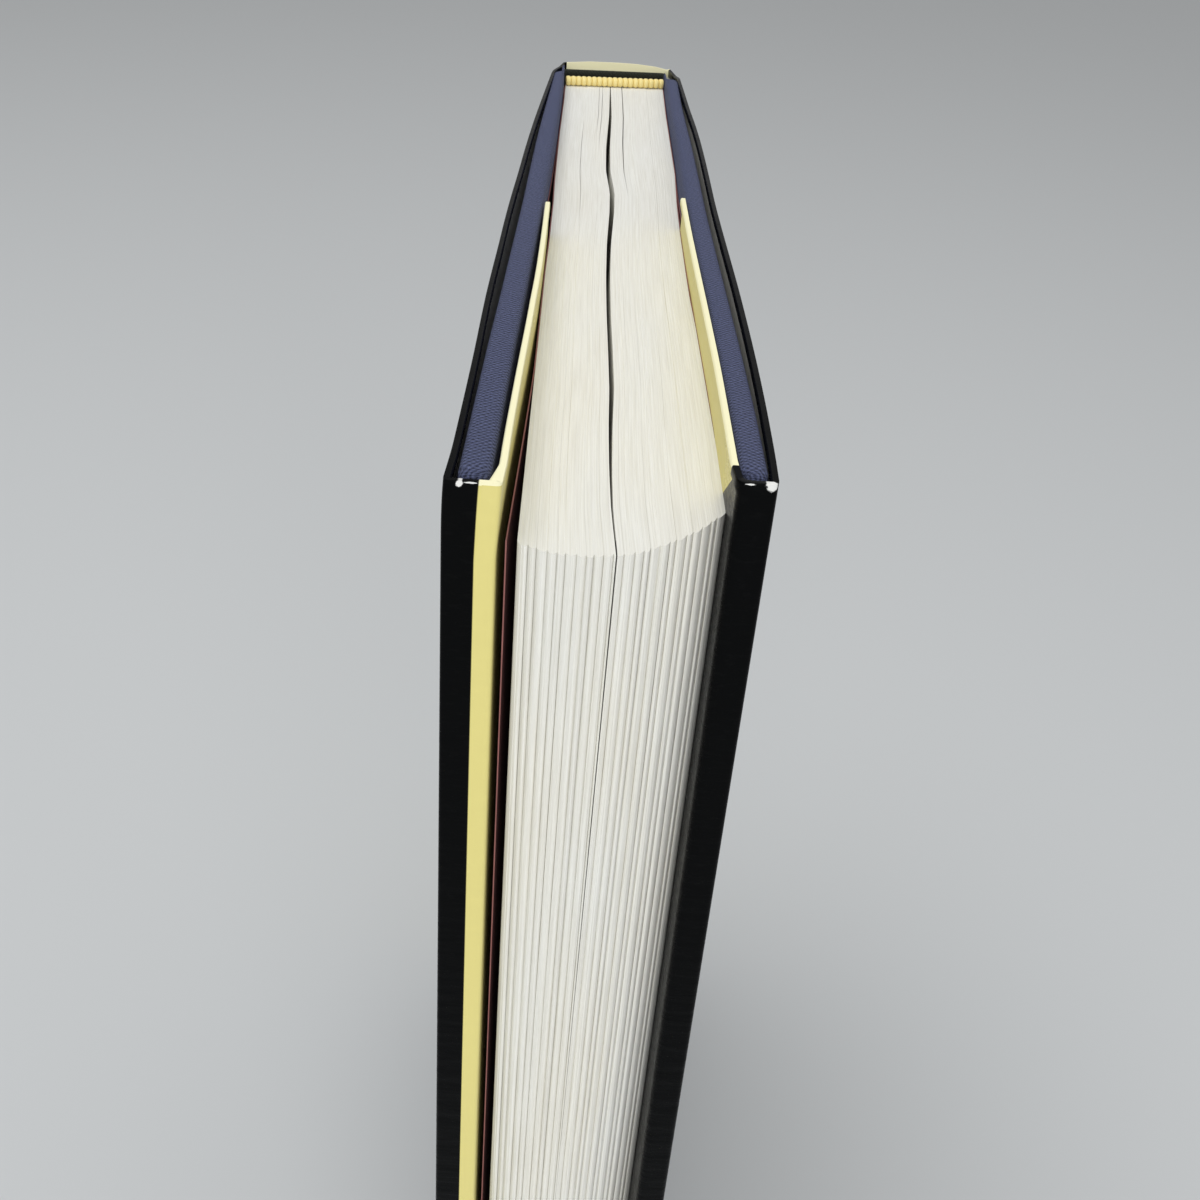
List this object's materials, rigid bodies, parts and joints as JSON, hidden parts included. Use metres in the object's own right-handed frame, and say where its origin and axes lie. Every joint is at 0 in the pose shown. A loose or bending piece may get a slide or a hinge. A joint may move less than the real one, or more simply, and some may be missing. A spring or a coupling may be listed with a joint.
{
  "type": "hardcover book",
  "caption": "Closed hardcover book in a dust jacket, standing on its tail edges, with two covers that open on the joints beside its spine.",
  "frame": {"origin": "the foot of the spine: the middle of the cloth-covered spine's tail edge, on the surface that the book stands on", "axes": "+Z from tail to head; +Y from the fore-edge to the spine; +X from the front cover to the back cover"},
  "size_m": [0.0269, 0.1634, 0.2349],
  "materials": {
    "text_paper": "matte",
    "endband_thread": "matte",
    "gauze": "matte",
    "lining_paper": "matte",
    "endpaper": "matte",
    "board": "matte",
    "inlay_card": "matte",
    "book_cloth": "matte",
    "jacket_cover": "gloss",
    "jacket_spine": "gloss"
  },
  "bodies": {
    "book_block": {"text_block": "text_paper", "head_band": "endband_thread", "tail_band": "endband_thread", "spine_gauze": "gauze", "spine_lining": "lining_paper", "front_flyleaf": "endpaper", "back_flyleaf": "endpaper", "spine_inlay": "inlay_card", "spine_cloth": "book_cloth", "spine_jacket": "jacket_spine"},
    "front_cover": {"front_board": "board", "front_cloth": "book_cloth", "front_pastedown": "endpaper", "front_gauze_flange": "gauze", "front_jacket": "jacket_cover"},
    "back_cover": {"back_board": "board", "back_cloth": "book_cloth", "back_pastedown": "endpaper", "back_gauze_flange": "gauze", "back_jacket": "jacket_cover"}
  },
  "joints": [
    {"name": "front_hinge", "type": "hinge", "parent": "book_block", "child": "front_cover", "pos_m": [-0.00864, -0.00487, 0], "axis": [0, 0, -1], "range_deg": [0, 170]},
    {"name": "back_hinge", "type": "hinge", "parent": "book_block", "child": "back_cover", "pos_m": [0.00864, -0.00213, 0], "axis": [0, 0, 1], "range_deg": [0, 170]}
  ]
}
